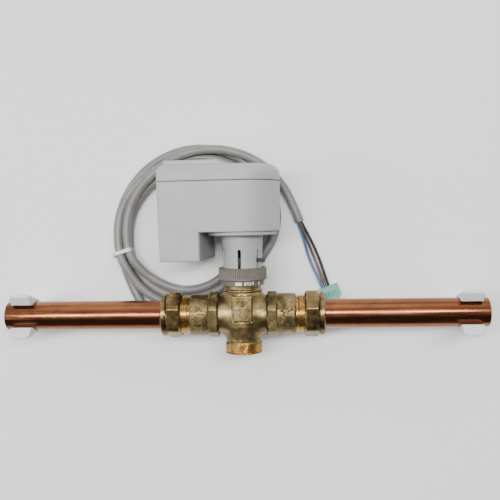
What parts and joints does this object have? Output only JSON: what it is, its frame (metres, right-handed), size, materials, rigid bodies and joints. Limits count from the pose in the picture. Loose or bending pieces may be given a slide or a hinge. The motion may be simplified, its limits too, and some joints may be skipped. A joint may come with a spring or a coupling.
{
  "type": "diverter valve",
  "caption": "Brass three-port diverter valve with a clip-on electric actuator, compression-jointed copper pipes in pipe clips and a coiled supply cable.",
  "frame": {"origin": "on the mounting surface, midway between the two clip screws, under the point where the stem axis meets the pipe axis", "axes": "+X along the pipes, +Z away from the surface that the clips are screwed to, the stem and actuator towards +Y"},
  "size_m": [0.367, 0.169, 0.0733],
  "materials": {
    "cast_brass": "sand cast, dull",
    "turned_brass": "machined, slightly tarnished",
    "copper": "drawn copper tube, light tarnish",
    "housing_plastic": "fine moulded texture, light grey",
    "ring_plastic": "moulded, brown grey",
    "dark_plastic": "moulded, black",
    "gear_plastic": "acetal, natural",
    "clip_plastic": "moulded, white",
    "zinc_steel": "zinc plated",
    "spring_steel": "drawn wire",
    "rubber": "moulded",
    "fibre": "pressed fibre",
    "board": "glass fibre laminate",
    "winding": "enamelled copper wire",
    "component_blue": "moulded case",
    "cable_pvc": "grey flexible sheath",
    "tie_nylon": "natural nylon",
    "core_blue": "blue insulation",
    "core_brown": "brown insulation",
    "core_black": "black insulation",
    "connector_green": "moulded, pale green"
  },
  "bodies": {
    "valve": {"actuator_base": "housing_plastic", "actuator_lid": "housing_plastic", "back_plate": "zinc_steel", "cable_gland": "cable_pvc", "cable_tie": "tie_nylon", "capacitor": "component_blue", "circuit_board": "board", "cord_coil": "cable_pvc", "cord_free_end": "cable_pvc", "cord_lead_in": "cable_pvc", "core_black": "core_black", "core_blue": "core_blue", "core_brown": "core_brown", "core_connector": "connector_green", "front_plate": "zinc_steel", "gear_pins": "zinc_steel", "gland_seal": "rubber", "left_clip": "clip_plastic", "left_connector": "turned_brass", "left_nut": "turned_brass", "left_olive": "turned_brass", "left_pipe": "copper", "left_washer": "fibre", "limit_switch": "dark_plastic", "lower_seat": "turned_brass", "motor_can": "zinc_steel", "motor_coil": "winding", "neck_collar": "housing_plastic", "neck_screws": "zinc_steel", "plate_pillars": "zinc_steel", "right_clip": "clip_plastic", "right_connector": "turned_brass", "right_nut": "turned_brass", "right_olive": "turned_brass", "right_pipe": "copper", "right_washer": "fibre", "spindle_gland": "turned_brass", "terminal_block": "connector_green", "valve_body": "cast_brass", "valve_spring": "spring_steel"},
    "ring": {"union_ring": "ring_plastic"},
    "stem": {"valve_stem": "zinc_steel", "closing_plug": "turned_brass", "plug_seals": "rubber", "spring_retainer": "turned_brass"},
    "pusher": {"pusher": "dark_plastic"},
    "rotor": {"motor_rotor": "zinc_steel"},
    "first_gear": {"first_gear": "gear_plastic"},
    "output_gear": {"output_gear": "gear_plastic"}
  },
  "joints": [
    {"name": "motor_spin", "type": "hinge", "parent": "valve", "child": "rotor", "pos_m": [-0.03487, 0.08295, 0.0392], "axis": [0.0872, 0.0868, -0.9924], "range_deg": [0, 298.4]},
    {"name": "first_gear_spin", "type": "hinge", "parent": "valve", "child": "first_gear", "pos_m": [-0.0213, 0.08751, 0.04079], "axis": [-0.0872, -0.0868, 0.9924], "range_deg": [0, 99.5]},
    {"name": "output_gear_spin", "type": "hinge", "parent": "valve", "child": "output_gear", "pos_m": [-0.00777, 0.07975, 0.0413], "axis": [0.0872, 0.0868, -0.9924], "range_deg": [0, 29.85]},
    {"name": "pusher_slide", "type": "slide", "parent": "valve", "child": "pusher", "axis": [0, -0.9962, -0.0872], "range_m": [0, 0.0025]},
    {"name": "stem_slide", "type": "slide", "parent": "valve", "child": "stem", "axis": [0, -0.9962, -0.0872], "range_m": [0, 0.0025], "deforming": ["valve_spring"]},
    {"name": "ring_turn", "type": "hinge", "parent": "valve", "child": "ring", "pos_m": [0, 0, 0.035], "axis": [0, 0.9962, 0.0872], "continuous": true}
  ],
  "couplings": [
    {"joint": "first_gear_spin", "follows": "motor_spin", "ratio": 0.33333},
    {"joint": "output_gear_spin", "follows": "motor_spin", "ratio": 0.1},
    {"joint": "pusher_slide", "follows": "motor_spin", "m_per_rad": 0.00048},
    {"joint": "stem_slide", "follows": "motor_spin", "m_per_rad": 0.00048}
  ]
}
